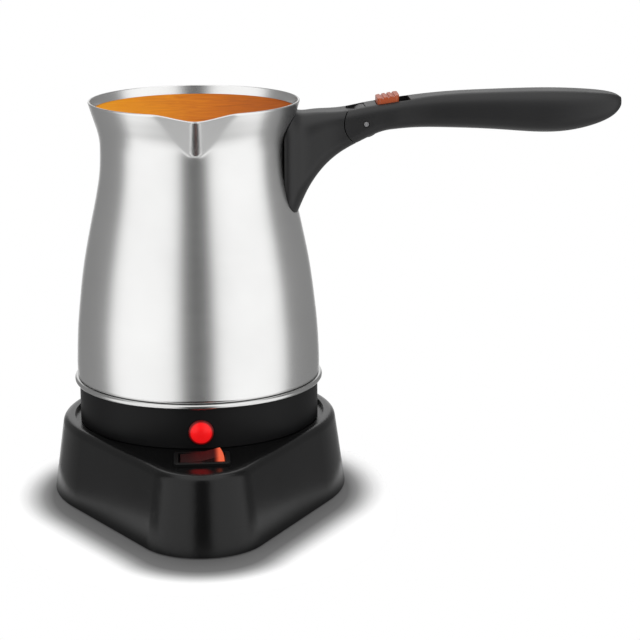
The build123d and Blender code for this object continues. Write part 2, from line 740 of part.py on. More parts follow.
over_collar_z = plug_top_z + lip_height + 0.7 + 1.5
beside_collar = collar_inner + collar_wall + 1.7
lamp_lead_y = -(spot_face_y - 8.3)
with BuildPart() as pot_wires:
    for side in (-1, 1):
        leg_x, leg_y = leg_places[0]
        lead([(leg_x, side * leg_y, terminal_pin_z), (leg_x, side * leg_y, terminal_pin_z - 1.2),
              (leg_x, side * 4, terminal_pin_z - 1.2), (leg_x, side * 4, over_collar_z),
              (-thermostat_radius, side * 4, over_collar_z)], 0.8, 1.0)
        lead([(side * 0.9, lamp_lead_y, lamp_z), (side * 0.9, -beside_collar, lamp_z),
              (side * 0.9, -beside_collar, over_collar_z),
              (side * 0.9, -thermostat_radius, over_collar_z)], 0.6, 1.0)
pot_wires.part.label = "pot_wires"
export_step(pot_wires.part, "parts/pot_wires.step")

# ================================================================ handle root, fixed to the vessel
bracket_half_width = 7.0
bracket_low_z = waist_z - 10
bracket_high_z = waist_z + 10
tang_low_z = waist_z - 2
tang_high_z = waist_z + 4
tang_half_width = 4.0
tang_reach = 17.0       # from the waist's radius
handle_screw_x = waist_radius + 9.8
handle_screw_radius = 1.5


def bracket_space(thickness, margin):
    """The band against the vessel's wall that the bracket's plate takes."""
    with BuildPart() as band:
        add(vessel_form(thickness, vessel_z, 0))
        block(60, 2 * (bracket_half_width + margin), (waist_radius + 20, 0), bracket_low_z - margin,
              bracket_high_z + margin, mode=Mode.INTERSECT)
        add(outer_form, mode=Mode.SUBTRACT)
    return band.part


with BuildPart() as handle_bracket:
    add(bracket_space(1.5, 0))
    block(tang_reach - 0.9, 2 * tang_half_width, (waist_radius + (tang_reach + 0.9) / 2, 0), tang_low_z,
          tang_high_z)
    disc(handle_screw_radius, tang_low_z, tang_high_z, [(handle_screw_x, 0)], mode=Mode.SUBTRACT)
handle_bracket.part.label = "handle_bracket"
export_step(handle_bracket.part, "parts/handle_bracket.step")

# The root's sections: reach from the waist's radius, top and bottom under the rim, half width, corner.
root_sections = [
    (-2.7, 4.7, 47.5, 16.5, 12.0),
    (3.6, 4.7, 41.8, 14.2, 11.0),
    (8.8, 4.6, 31.5, 12.2, 8.5),
    (15.1, 4.4, 23.7, 10.8, 6.0),
    (21.4, 4.0, 18.9, handle_half_width, 4.5),
]
# The grip's sections: reach from the pin, top and bottom over the pin, half width, corner.
grip_sections = [
    (-1.7, 5.9, -6.8, handle_half_width, 4.2),
    (4.0, 6.9, -4.2, handle_half_width, 4.2),
    (11.0, 7.9, -2.6, handle_half_width, 4.2),
    (22.0, 9.5, -2.2, 9.4, 5.0),
    (41.0, 10.9, -2.9, 9.7, 6.0),
    (60.0, 11.3, -4.2, 10.6, 6.5),
    (79.0, 11.1, -4.3, 11.0, 6.5),
    (grip_length - 8.3, 10.2, -1.2, 9.4, 5.0),
    (grip_length - 2.6, 9.3, 1.7, 7.0, 3.5),
    (grip_length, 8.2, 4.6, 4.0, 1.7),
]

# Root and grip share one flowing form, parted about the hinge pin.
with BuildPart() as handle_form:
    for reach, top_drop, bottom_drop, half_width, corner in root_sections:
        with BuildSketch(Plane.YZ.offset(waist_radius + reach)):
            with Locations((0, rim_z - (top_drop + bottom_drop) / 2)):
                RectangleRounded(2 * half_width, bottom_drop - top_drop, corner)
    for reach, top, bottom, half_width, corner in grip_sections:
        with BuildSketch(Plane.YZ.offset(pin_x + reach)):
            with Locations((0, pin_z + (top + bottom) / 2)):
                RectangleRounded(2 * half_width, top - bottom, corner)
    loft()

root_length = pin_x - 3 - waist_radius
neck_start = pin_x - barrel_space - 2
screw_head_z = tang_low_z - 2.4
with BuildPart() as handle_root:
    add(handle_form.part)
    block(2 * root_length, 60, (waist_radius, 0), vessel_z, rim_z, mode=Mode.INTERSECT)
    add(vessel_form(seat_gap, vessel_z, 0), mode=Mode.SUBTRACT)
    add(bracket_space(1.5 + seat_gap, seat_gap), mode=Mode.SUBTRACT)
    block(tang_reach + seat_gap, 2 * (tang_half_width + seat_gap),
          (waist_radius + (tang_reach + seat_gap) / 2, 0), tang_low_z - seat_gap, tang_high_z + seat_gap,
          mode=Mode.SUBTRACT)
    disc(handle_screw_radius, screw_head_z, tang_low_z, [(handle_screw_x, 0)], mode=Mode.SUBTRACT)
    disc(3.0, screw_head_z - 20, screw_head_z, [(handle_screw_x, 0)], mode=Mode.SUBTRACT)
    # Round space for the grip's barrel, then the tongue that stands in the grip's fork.
    cross_barrel(barrel_space, 20, (pin_x, pin_z), mode=Mode.SUBTRACT)
    cross_barrel(tongue_radius, tongue_half_width, (pin_x, pin_z))
    block(pin_x - neck_start, 2 * tongue_half_width, ((pin_x + neck_start) / 2, 0),
          pin_z - neck_half_height, pin_z + neck_half_height)
    cross_barrel(hinge_pin_radius + pin_fit, 20, (pin_x, pin_z), mode=Mode.SUBTRACT)
    # Notch that the latch's nose clicks into.
    cross_barrel(1.5, 20, (pin_x + tongue_radius, pin_z + 0.3), mode=Mode.SUBTRACT)
handle_root.part.label = "handle_root"
export_step(handle_root.part, "parts/handle_root.step")

with BuildPart() as handle_screw:
    disc(2.8, screw_head_z - 1.9, screw_head_z, [(handle_screw_x, 0)])
    disc(handle_screw_radius - screw_play, screw_head_z, tang_high_z - 0.5, [(handle_screw_x, 0)])
handle_screw.part.label = "handle_screw"
export_step(handle_screw.part, "parts/handle_screw.step")

# ================================================================ grip, folding down about the hinge pin
part_line_z = pin_z - 0.2       # where the grip's cover meets its shell
cover_start = 22.0              # from the hinge pin
cover_length = grip_length - 31.3
cover_middle = (pin_x + cover_start + cover_length / 2, 0)
cover_half_width = 7.0
cover_ledge = 1.5               # on which the cover rests, around the hollow
grip_screw_places = [(pin_x + cover_start + 8, 0), (pin_x + cover_start + cover_length - 8, 0)]
button_x = pin_x + button_reach
button_end = button_x + button_length
stem_length = 2.8               # under the button's far end
stem_half_width = 2.9
stem_x = button_end - stem_length
stem_low_z = pin_z + 1.8
latch_room = 0.4                # around the latch's travel
latch_floor_z = pin_z + 6.6     # flat that the button slides on
leaf_room_z = pin_z - 1.2       # floor of the leaf's window and of the stem's slot
leaf_thickness = 0.6
spring_z = pin_z + 4.5
spring_radius = 1.4             # of the coil, to the middle of the wire
spring_wire_radius = 0.25
spring_pocket = 3.0             # deeper than the stem's slot
slot_end = button_end + latch_travel + latch_room

# The grip's side of the parting: all beyond the pin, and the barrel about it.
with BuildPart() as grip_side:
    cross_barrel(barrel_radius, 20, (pin_x, pin_z))
    block(grip_length + 10, 40, (pin_x + (grip_length + 10) / 2, 0), pin_z - 20, pin_z + 20)

with BuildPart() as grip_form:
    add(handle_form.part)
    add(grip_side.part, mode=Mode.INTERSECT)

with BuildPart() as grip_shell:
    add(grip_form.part)
    # Fork for the root's tongue.
    cross_barrel(fork_space, fork_half_width, (pin_x, pin_z), mode=Mode.SUBTRACT)
    block(12, 2 * fork_half_width, (pin_x - 6, 0), pin_z - 12, pin_z + 12, mode=Mode.SUBTRACT)
    cross_barrel(hinge_pin_radius + 0.02, 20, (pin_x, pin_z), mode=Mode.SUBTRACT)
    # Seat of the cover, then the hollow above it, around two screw bosses.
    block(cover_length, 2 * cover_half_width, cover_middle, pin_z - 12, part_line_z, mode=Mode.SUBTRACT)
    with BuildSketch(Plane.XY.offset(part_line_z)):
        with Locations(cover_middle):
            RectangleRounded(cover_length - 2 * cover_ledge, 2 * (cover_half_width - cover_ledge), 3)
        with Locations(*grip_screw_places):
            Circle(boss_radius, mode=Mode.SUBTRACT)
    extrude(amount=6.6, mode=Mode.SUBTRACT)
    disc(1.25, part_line_z, part_line_z + 6, grip_screw_places, mode=Mode.SUBTRACT)
    # The latch's flat, the slot for its stem and the window for its leaf.
    block(slot_end - button_x + latch_room, button_width + 2 * running_gap,
          ((slot_end + button_x - latch_room) / 2, 0), latch_floor_z, pin_z + 14, mode=Mode.SUBTRACT)
    block(slot_end - stem_x + latch_room, 2 * (stem_half_width + running_gap),
          ((slot_end + stem_x - latch_room) / 2, 0), leaf_room_z, pin_z + 14, mode=Mode.SUBTRACT)
    block(stem_x - pin_x - 5, 2 * (stem_half_width + running_gap), ((stem_x + pin_x + 5) / 2, 0),
          leaf_room_z, pin_z + 2.2, mode=Mode.SUBTRACT)
    # Blind pocket for the latch's spring.
    with BuildSketch(Plane.YZ.offset(slot_end)) as pocket:
        with Locations((0, spring_z)):
            Circle(spring_radius + spring_wire_radius + running_gap)
    extrude(pocket.sketch, amount=spring_pocket, mode=Mode.SUBTRACT)
grip_shell.part.label = "grip_shell"
export_step(grip_shell.part, "parts/grip_shell.step")

with BuildPart() as grip_cover:
    add(grip_form.part)
    block(cover_length - 2 * seat_gap, 2 * (cover_half_width - seat_gap), cover_middle, pin_z - 12,
          part_line_z, mode=Mode.INTERSECT)
    disc(1.5, pin_z - 12, part_line_z, grip_screw_places, mode=Mode.SUBTRACT)
    disc(2.4, pin_z - 12, part_line_z - 0.9, grip_screw_places, mode=Mode.SUBTRACT)
grip_cover.part.label = "grip_cover"
export_step(grip_cover.part, "parts/grip_cover.step")

with BuildPart() as grip_screws:
    disc(2.2, part_line_z - 1.9, part_line_z - 0.9, grip_screw_places)
    disc(1.25 - screw_play, part_line_z - 0.9, part_line_z + 5, grip_screw_places)
grip_screws.part.label = "grip_screws"
export_step(grip_screws.part, "parts/grip_screws.step")

with BuildPart() as hinge_pin:
    cross_barrel(hinge_pin_radius, handle_half_width - 0.1, (pin_x, pin_z))
    chamfer(hinge_pin.edges().filter_by(GeomType.CIRCLE), 0.3)
hinge_pin.part.label = "hinge_pin"
export_step(hinge_pin.part, "parts/hinge_pin.step")

washer_play = 0.03
with BuildPart() as hinge_washers:
    for side in (-1, 1):
        with BuildSketch(Plane.XZ.offset(side * (tongue_half_width + washer_play))):
            with Locations((pin_x, pin_z)):
                Circle(3.2)
                Circle(hinge_pin_radius + pin_fit, mode=Mode.SUBTRACT)
        extrude(amount=side * (fork_half_width - tongue_half_width - 2 * washer_play))
hinge_washers.part.label = "hinge_washers"
export_step(hinge_washers.part, "parts/hinge_washers.step")

# ---- latch: a ribbed button on the grip, its stem and a spring leaf with a nose
button_z = latch_floor_z + 0.2
low_top_z = button_z + button_height
with BuildPart() as latch_button:
    with BuildSketch(Plane.XZ):
        with BuildLine():
            Polyline(
                (button_x, button_z),
                (button_end, button_z),
                (button_end, low_top_z + button_slope),
                (button_x, low_top_z),
                close=True,
            )
        make_face()
    extrude(amount=button_width / 2, both=True)
    fillet(latch_button.edges().filter_by(Axis.Z), 1.5)
    # Grooves between the ribs, following the slope of the button's top.
    with BuildSketch(Plane.XZ):
        for groove in range(1, rib_count):
            share = groove / rib_count
            with Locations((button_x + button_length * share, low_top_z + button_slope * share)):
                Circle(0.45)
    extrude(amount=button_width, both=True, mode=Mode.SUBTRACT)
    block(stem_length, 2 * stem_half_width, (stem_x + stem_length / 2, 0), stem_low_z, button_z)
latch_button.part.label = "latch_button"
export_step(latch_button.part, "parts/latch_button.step")

leaf_start = pin_x + tongue_radius + 0.2
with BuildPart() as latch_leaf:
    block(button_end - leaf_start, 2 * stem_half_width, ((button_end + leaf_start) / 2, 0),
          stem_low_z - leaf_thickness, stem_low_z)
    cross_barrel(1.1, stem_half_width, (pin_x + tongue_radius + 0.1, pin_z + 0.35))
latch_leaf.part.label = "latch_leaf"
export_step(latch_leaf.part, "parts/latch_leaf.step")

spring_start = button_end + seat_gap + spring_wire_radius
spring_length = slot_end + spring_pocket - seat_gap - spring_wire_radius - spring_start
with BuildPart() as latch_return_spring:
    with BuildLine() as coil:
        Helix(pitch=spring_length / 4, height=spring_length, radius=spring_radius,
              center=(spring_start, 0, spring_z), direction=(1, 0, 0))
    with BuildSketch(Plane(origin=coil.line @ 0, z_dir=coil.line % 0)):
        Circle(spring_wire_radius)
    sweep(path=coil.line, is_frenet=True)
latch_return_spring.part.label = "latch_return_spring"
export_step(latch_return_spring.part, "parts/latch_return_spring.step")
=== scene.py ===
"""Looks of the electric turkish coffee maker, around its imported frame.

Metres, in the frame of the part, except where a comment says millimetres.
"""
import math

import bmesh
import bpy
from mathutils import Matrix, Vector


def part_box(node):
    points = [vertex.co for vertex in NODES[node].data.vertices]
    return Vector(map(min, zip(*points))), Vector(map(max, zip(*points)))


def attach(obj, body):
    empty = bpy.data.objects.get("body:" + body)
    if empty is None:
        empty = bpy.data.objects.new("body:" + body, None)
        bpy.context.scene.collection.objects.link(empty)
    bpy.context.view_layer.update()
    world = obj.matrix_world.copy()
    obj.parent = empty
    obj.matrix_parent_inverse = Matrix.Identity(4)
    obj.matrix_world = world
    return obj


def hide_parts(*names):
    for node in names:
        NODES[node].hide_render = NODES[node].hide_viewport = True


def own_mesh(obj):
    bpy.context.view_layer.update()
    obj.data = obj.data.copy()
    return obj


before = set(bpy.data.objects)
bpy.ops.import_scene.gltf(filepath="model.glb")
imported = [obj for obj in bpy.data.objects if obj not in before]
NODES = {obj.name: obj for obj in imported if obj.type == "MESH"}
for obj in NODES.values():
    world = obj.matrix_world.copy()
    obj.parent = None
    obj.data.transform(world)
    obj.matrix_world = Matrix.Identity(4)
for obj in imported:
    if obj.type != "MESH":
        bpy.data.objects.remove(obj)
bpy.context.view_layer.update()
MM = 0.001

# ------------------------------------------------------------------ places that the frame gives
VESSEL_LOW, VESSEL_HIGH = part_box("pot_vessel")
BEAD_LOW, BEAD_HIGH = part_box("pot_trim_ring")
BASE_LOW, BASE_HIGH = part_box("base_shell")
FOOT_Z = VESSEL_LOW.z
RIM_Z = VESSEL_HIGH.z
FOOT_RADIUS = VESSEL_HIGH.x


# ------------------------------------------------------------------ node tools
def scaled(value, share):
    """A grey or a colour made darker or paler, up to full brightness."""
    if isinstance(value, tuple):
        return tuple(scaled(channel, share) for channel in value)
    return min(1.0, value * share)


class Nodes:
    """The nodes of a material or a world, made one at a time."""

    def __init__(self, tree):
        self.tree = tree

    def node(self, kind, **settings):
        made = self.tree.nodes.new(kind)
        for key, value in settings.items():
            setattr(made, key, value)
        return made

    def link(self, out, into):
        self.tree.links.new(out, into)

    def calc(self, operation, *values):
        """Arithmetic with outputs and plain numbers."""
        made = self.node("ShaderNodeMath", operation=operation)
        for socket, value in zip(made.inputs, values):
            if isinstance(value, (int, float)):
                socket.default_value = value
            else:
                self.link(value, socket)
        return made.outputs[0]

    def axes(self, vector):
        """A vector's outputs "X", "Y" and "Z"."""
        made = self.node("ShaderNodeSeparateXYZ")
        self.link(vector, made.inputs[0])
        return made.outputs

    def distance(self, vector, place):
        made = self.node("ShaderNodeVectorMath", operation="DISTANCE")
        self.link(vector, made.inputs[0])
        made.inputs[1].default_value = place
        return made.outputs["Value"]

    def climb(self, value, low, high, top=1.0, kind="LINEAR"):
        """Goes from 0 to top while the value goes from low to high."""
        made = self.node("ShaderNodeMapRange", interpolation_type=kind)
        made.inputs["From Min"].default_value = low
        made.inputs["From Max"].default_value = high
        made.inputs["To Max"].default_value = top
        self.link(value, made.inputs["Value"])
        return made.outputs["Result"]

    def ramp(self, fac, stops):
        """A colour ramp; stops are (position, grey or colour)."""
        made = self.node("ShaderNodeValToRGB")
        elements = made.color_ramp.elements
        while len(elements) < len(stops):
            elements.new(0.5)
        for element, (place, value) in zip(elements, stops):
            element.position = place
            element.color = (*value, 1) if isinstance(value, tuple) else (value, value, value, 1)
        self.link(fac, made.inputs["Fac"])
        return made.outputs["Color"]


class Shader(Nodes):
    """A material round its Principled BSDF."""

    def __init__(self, name):
        self.material = bpy.data.materials.new(name)
        self.material.use_nodes = True
        super().__init__(self.material.node_tree)
        self.bsdf = self.tree.nodes["Principled BSDF"]
        self.coords = self.node("ShaderNodeTexCoord").outputs["Object"]

    def set(self, **values):
        """Constant values, by the sockets' names with _ for a space."""
        for key, value in values.items():
            self.bsdf.inputs[key.replace("_", " ")].default_value = value

    def into(self, out, socket):
        self.link(out, self.bsdf.inputs[socket])

    def stretched(self, scale):
        """Object coordinates, scaled on each axis."""
        mapping = self.node("ShaderNodeMapping")
        mapping.inputs["Scale"].default_value = scale
        self.link(self.coords, mapping.inputs["Vector"])
        return mapping.outputs["Vector"]

    def noise(self, vector, scale, detail=3.0, rough=0.55, distortion=0.0):
        made = self.node("ShaderNodeTexNoise")
        made.inputs["Scale"].default_value = scale
        made.inputs["Detail"].default_value = detail
        made.inputs["Roughness"].default_value = rough
        made.inputs["Distortion"].default_value = distortion
        self.link(vector, made.inputs["Vector"])
        return made.outputs["Fac"]

    def vary(self, socket, fac, value, *steps):
        """Makes a socket's grey or colour uneven; steps are (place, share of the value)."""
        stops = [(place, scaled(value, share)) for place, share in steps]
        self.into(self.ramp(fac, stops), socket)

    def bump(self, height, depth):
        """Fine relief, with its depth in millimetres."""
        made = self.node("ShaderNodeBump")
        made.inputs["Distance"].default_value = depth * MM
        self.link(height, made.inputs["Height"])
        self.into(made.outputs["Normal"], "Normal")


# ------------------------------------------------------------------ materials
def plastic(name, colour, roughness, grain=0.02, grain_scale=1980.0, specular=0.35):
    """Moulded plastic: a fine spark-eroded grain, faint flow marks and slightly uneven gloss."""
    m = Shader(name)
    flow = m.noise(m.stretched((1, 1, 0.5)), scale=28.0, detail=4.0)
    m.vary("Base Color", flow, colour, (0.3, 0.82), (0.7, 1.22))
    m.vary("Roughness", flow, roughness, (0.25, 0.9), (0.75, 1.12))
    m.bump(m.noise(m.coords, grain_scale, detail=2.0), depth=grain)
    m.set(Specular_IOR_Level=specular)
    return m.material


def brushed(name, colour, roughness, anisotropy):
    """Metal brushed round the Z axis."""
    m = Shader(name)
    strokes = m.noise(m.stretched((30, 30, 5200)), scale=1.0, rough=0.7)
    clouds = m.noise(m.coords, scale=26.0)
    m.vary("Base Color", clouds, colour, (0.3, 0.965), (0.7, 1.03))
    m.vary("Roughness", strokes, roughness, (0.25, 0.88), (0.75, 1.12))
    m.bump(strokes, depth=0.0016)
    m.set(Metallic=1.0, Anisotropic=anisotropy)
    tangent = m.node("ShaderNodeTangent", direction_type="RADIAL", axis="Z")
    m.into(tangent.outputs["Tangent"], "Tangent")
    return m.material


def cast_metal(name, colour, roughness, scale=420.0, depth=0.01):
    """Turned, cast or stamped metal with a fine even surface."""
    m = Shader(name)
    speckle = m.noise(m.coords, scale, detail=4.0)
    m.vary("Base Color", speckle, colour, (0.3, 0.85), (0.7, 1.0))
    m.vary("Roughness", speckle, roughness, (0.3, 0.8), (0.7, 1.2))
    m.bump(speckle, depth)
    m.set(Metallic=1.0)
    return m.material


def clear_plastic(name, roughness, strength):
    """Clear plastic that is lit from within: its shader, and the noise of its fine cells."""
    m = Shader(name)
    cells = m.noise(m.coords, scale=900.0, detail=2.0)
    m.bump(cells, depth=0.01)
    m.set(Roughness=roughness, Specular_IOR_Level=0.25, Emission_Strength=strength)
    return m, cells


# Where a plastic is lit only beyond a place, the light fades in over this distance.
LIT_EDGE = 2.6 * MM


def glow_plastic(name, colour, glow, strength, roughness=0.4, lit_from=None):
    """Clear coloured plastic, lit all over, or only beyond a place along X."""
    m, cells = clear_plastic(name, roughness, strength)
    m.vary("Base Color", cells, colour, (0.35, 0.8), (0.65, 1.0))
    m.set(Emission_Color=(*glow, 1))
    if lit_from is not None:
        along = m.axes(m.coords)["X"]
        lit = m.climb(along, lit_from, lit_from + LIT_EDGE, strength, "SMOOTHSTEP")
        m.into(lit, "Emission Strength")
        # Where it is dim, it is redder.
        red, green, blue = glow
        dim = (red * 0.6, green * 0.35, blue * 0.35)
        m.into(m.ramp(lit, [(0.2, dim), (0.9, glow)]), "Emission Color")
    return m.material


# The lens's brightness at shares of its radius.
LENS_SHADES = [(0.0, 0.8), (0.7, 1.0), (0.8, 0.9), (0.93, 0.12)]


def lens_plastic(name, colour, glow, strength, node):
    """The pilot lamp's lens: bright over its bulb, darker round its edge."""
    m, _ = clear_plastic(name, 0.3, strength)
    low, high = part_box(node)
    middle = (low + high) / 2
    away = m.distance(m.stretched((1, 0, 1)), (middle.x, 0, middle.z))
    share = m.calc("DIVIDE", away, (high.x - low.x) / 2)
    m.vary("Base Color", share, colour, *LENS_SHADES)
    m.vary("Emission Color", share, glow, *LENS_SHADES)
    return m.material


# The foam's colours from the left to the handle, and how much of the way its streaks can shift.
FOAM_COLOURS = [(0.15, (0.88, 0.35, 0.012)), (0.36, (0.8, 0.27, 0.008)),
                (0.55, (0.6, 0.15, 0.005)), (0.8, (0.3, 0.055, 0.004))]
SWIRL_SHARE = 0.45
FOAM_RADIUS = 39 * MM


def coffee_foam(name):
    """Foam on the coffee: golden to brown, with fine curling streaks."""
    m = Shader(name)
    across = m.climb(m.axes(m.coords)["X"], -FOAM_RADIUS, FOAM_RADIUS, 1 - SWIRL_SHARE)
    swirl = m.noise(m.stretched((1.0, 2.6, 1.0)), 55.0, detail=6.0, rough=0.62, distortion=1.6)
    blend = m.calc("MULTIPLY_ADD", swirl, SWIRL_SHARE, across)
    m.into(m.ramp(blend, FOAM_COLOURS), "Base Color")
    m.bump(m.noise(m.coords, scale=750.0), depth=0.05)
    m.set(Roughness=0.7, Specular_IOR_Level=0.06)
    return m.material


SATIN_STEEL = brushed("satin_steel", (0.74, 0.74, 0.735), roughness=0.21, anisotropy=0.75)
POLISHED_STEEL = brushed("bright_steel", (0.62, 0.62, 0.615), roughness=0.2, anisotropy=0.3)
SCREW_STEEL = cast_metal("screw_steel", (0.66, 0.66, 0.67), roughness=0.3)
SPRING_STEEL = cast_metal("spring_steel", (0.55, 0.56, 0.58), roughness=0.28)
ALUMINIUM = cast_metal(
    "heater_aluminium", (0.74, 0.74, 0.75), roughness=0.45, scale=260.0, depth=0.03
)
SHEATH = cast_metal("heater_sheath", (0.5, 0.49, 0.48), roughness=0.42, scale=700.0)
BRASS = cast_metal("contact_brass", (0.8, 0.58, 0.24), roughness=0.27)
BLACK = plastic(
    "black_plastic", (0.0028, 0.0028, 0.0029), roughness=0.24, grain=0.006, specular=0.3
)
SWITCH_BLACK = plastic(
    "switch_plastic", (0.004, 0.004, 0.004), roughness=0.5, grain=0.01, specular=0.2
)
SKIRT_BLACK = plastic(
    "skirt_plastic", (0.008, 0.008, 0.0083), roughness=0.45, grain=0.01, specular=0.12
)
HANDLE_BLACK = plastic(
    "handle_plastic", (0.0105, 0.0105, 0.011), roughness=0.42, grain_scale=1540.0, specular=0.4
)
BAKELITE = plastic("dark_bakelite", (0.022, 0.018, 0.016), roughness=0.33)
NYLON = plastic("white_nylon", (0.74, 0.73, 0.69), roughness=0.5)
RUBBER = plastic(
    "foot_rubber", (0.018, 0.018, 0.018), roughness=0.75, grain=0.05, grain_scale=1100.0,
    specular=0.2,
)
SEAL = plastic(
    "seal_rubber", (0.3, 0.08, 0.05), roughness=0.6, grain=0.03, grain_scale=1100.0, specular=0.3
)
ORANGE = plastic("orange_plastic", (0.42, 0.075, 0.018), roughness=0.4, specular=0.5)
SLEEVE = plastic("lead_sleeve", (0.42, 0.42, 0.44), roughness=0.5)
CERAMIC = plastic("fuse_ceramic", (0.82, 0.79, 0.72), roughness=0.55)
LENS_RED = lens_plastic(
    "lens_red", (0.75, 0.008, 0.01), glow=(1.0, 0.01, 0.012), strength=0.5, node="lamp_lens"
)
ROCKER_RED = glow_plastic(
    "rocker_red", (0.022, 0.003, 0.003), glow=(0.85, 0.13, 0.055), strength=1.0, roughness=0.55,
    lit_from=4.2 * MM,
)
NEON = glow_plastic("neon_glow", (0.9, 0.3, 0.12), glow=(1.0, 0.2, 0.05), strength=2.5)
FOAM = coffee_foam("coffee_foam")

FINISHES = {
    BLACK: "base_shell base_plate pot_base_plate cord_gland",
    SKIRT_BLACK: "pot_skirt",
    SWITCH_BLACK: "switch_housing",
    HANDLE_BLACK: "handle_root grip_shell grip_cover",
    BAKELITE: "socket_housing coupler_plug plug_retainer thermostat",
    NYLON: "terminal_block lamp_holder",
    SATIN_STEEL: "pot_vessel",
    POLISHED_STEEL: "pot_trim_ring",
    SCREW_STEEL: "base_screws socket_screws pot_screws handle_screw grip_screws hinge_pin "
                 "hinge_washers plate_studs handle_bracket",
    SPRING_STEEL: "latch_leaf latch_return_spring",
    ALUMINIUM: "heat_plate",
    SHEATH: "heating_element",
    BRASS: "socket_live_contact socket_neutral_contact socket_earth_contact coupler_live_pin "
           "coupler_neutral_ring coupler_earth_ring switch_terminals terminal_inserts "
           "element_terminals",
    RUBBER: "base_feet",
    SEAL: "vessel_seal",
    LENS_RED: "lamp_lens",
    ROCKER_RED: "switch_rocker",
    NEON: "lamp_bulb switch_neon",
    ORANGE: "latch_button",
    SLEEVE: "base_wires pot_wires",
    CERAMIC: "thermal_fuse",
}
for finish, names in FINISHES.items():
    for name in names.split():
        slots = NODES[name].data.materials
        slots.clear()
        slots.append(finish)


# ------------------------------------------------------------------ mesh tools
def finish_piece(name, mesh, material, body, slot, *replaced):
    """Makes a smooth closed piece of a mesh and hangs it on its body."""
    piece = bpy.data.objects.new(name, mesh)
    bpy.context.scene.collection.objects.link(piece)
    mesh.polygons.foreach_set("use_smooth", [True] * len(mesh.polygons))
    mesh.materials.append(material)
    mesh.update()
    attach(piece, body)
    if replaced:
        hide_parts(*replaced)
    return piece


def ring_mesh(name, rings, closed_tube=False):
    """A closed skin through rings of equally many points. A ring of one point closes an end."""
    vertices = [point for ring in rings for point in ring]
    starts = []
    count = 0
    for ring in rings:
        starts.append(count)
        count += len(ring)
    faces = []
    pairs = list(zip(range(len(rings)), range(1, len(rings))))
    if closed_tube:
        pairs.append((len(rings) - 1, 0))
    for here, there in pairs:
        size = max(len(rings[here]), len(rings[there]))
        for turn in range(size):
            after = (turn + 1) % size
            corners = []
            for row, step in ((here, turn), (here, after), (there, after), (there, turn)):
                index = starts[row] + (step if len(rings[row]) > 1 else 0)
                if index not in corners:
                    corners.append(index)
            faces.append(corners)
    mesh = bpy.data.meshes.new(name)
    mesh.from_pydata(vertices, [], faces)
    made = bmesh.new()
    made.from_mesh(mesh)
    bmesh.ops.recalc_face_normals(made, faces=made.faces)
    made.to_mesh(mesh)
    made.free()
    return mesh


def smooth_line(points, steps):
    """A Catmull-Rom line through (x, y) points, with so many steps between two points."""
    ends = [tuple(2 * a - b for a, b in zip(points[0], points[1]))]
    ends += points + [tuple(2 * a - b for a, b in zip(points[-1], points[-2]))]
    line = []
    for p0, p1, p2, p3 in zip(ends, ends[1:], ends[2:], ends[3:]):
        for step in range(steps):
            t = step / steps
            line.append(tuple(
                0.5 * (2 * b + (c - a) * t + (2 * a - 5 * b + 4 * c - d) * t * t
                       + (3 * b - a - 3 * c + d) * t * t * t)
                for a, b, c, d in zip(p0, p1, p2, p3)
            ))
    line.append(tuple(points[-1]))
    return line


def smooth_step(low, high, value):
    """0 up to low, 1 from high on, and a soft climb between them."""
    share = min(1.0, max(0.0, (value - low) / (high - low)))
    return share * share * (3 - 2 * share)


def joined(a, b, blend):
    """The larger of two values, with a soft change-over."""
    return 0.5 * (a + b + math.sqrt((a - b) ** 2 + blend ** 2))


# ------------------------------------------------------------------ vessel
WALL = 0.8 * MM
# Outside of the vessel in millimetres: (height, radius). It laps over the trim ring's collar.
OUTSIDE = [(46.6, 47.85), (52, 47.9), (60, 47.61), (68, 47.07), (76, 46.22), (84, 45.26),
           (92, 44.05), (100, 42.52), (108, 40.84), (116, 39.07), (124, 37.55), (130, 36.9),
           (136, 36.7), (140, 36.87), (144, 37.7), (148, 38.95), (151.5, 40.05), (154.5, 40.9)]
OUTSIDE_STEPS = 5
# The lap's lower edge, with its inner and its outer corner taken off.
LAP_INNER_EDGE = 0.15 * MM
LAP_OUTER_EDGE = 0.2 * MM
LAP_Z = OUTSIDE[0][0] * MM - LAP_OUTER_EDGE
LAP_INSIDE = FOOT_RADIUS - WALL
LIP_RISE = 0.45 * WALL
# The inside's lowest ring stands over the floor's rounded corner.
INSIDE_FROM = 5 * MM
INSIDE_CORNER = 4 * MM
# The spout in millimetres: its fold's lower end and its rim, with the nose's distance from the
# axis at each.
SPOUT_LOW_Z, SPOUT_LOW_NOSE = 138.0, 36.3
SPOUT_RIM_Z, SPOUT_RIM_NOSE = 154.5, 47.76
SPOUT_NOSE_RADIUS = 5.0 * MM
SPOUT_HALF_ANGLE = math.radians(54.5)
# The nose slants, so a level cut through its wall is this much thicker.
SPOUT_SLANT = 1.18
# Under the fold the nose goes on inside the wall, for this share of the spout's height.
SPOUT_ROOT = 0.3
SPOUT_BLEND = 0.35 * MM
# The spout's sides run out into the round vessel between these directions.
SPOUT_FADE_FROM, SPOUT_FADE_TO = math.radians(25), math.radians(35)
# The rim is lower at the nose, and level again at this direction, in radians.
SPOUT_DIP = 1.3 * MM
DIP_REACH = 0.4
# Directions round the axis, from the front, closer together at the spout.
FINE_STEP, FINE_STEPS, COARSE_STEPS = 0.8, 50, 120
FINE_END = FINE_STEP * FINE_STEPS
TURNS = [math.radians(FINE_STEP * step) for step in range(-FINE_STEPS, FINE_STEPS + 1)]
TURNS += [math.radians(FINE_END + (360 - 2 * FINE_END) * step / COARSE_STEPS)
          for step in range(1, COARSE_STEPS)]


def vessel_profile():
    """(radius, height) up the outside of the vessel."""
    return smooth_line([(radius * MM, height * MM) for height, radius in OUTSIDE], OUTSIDE_STEPS)


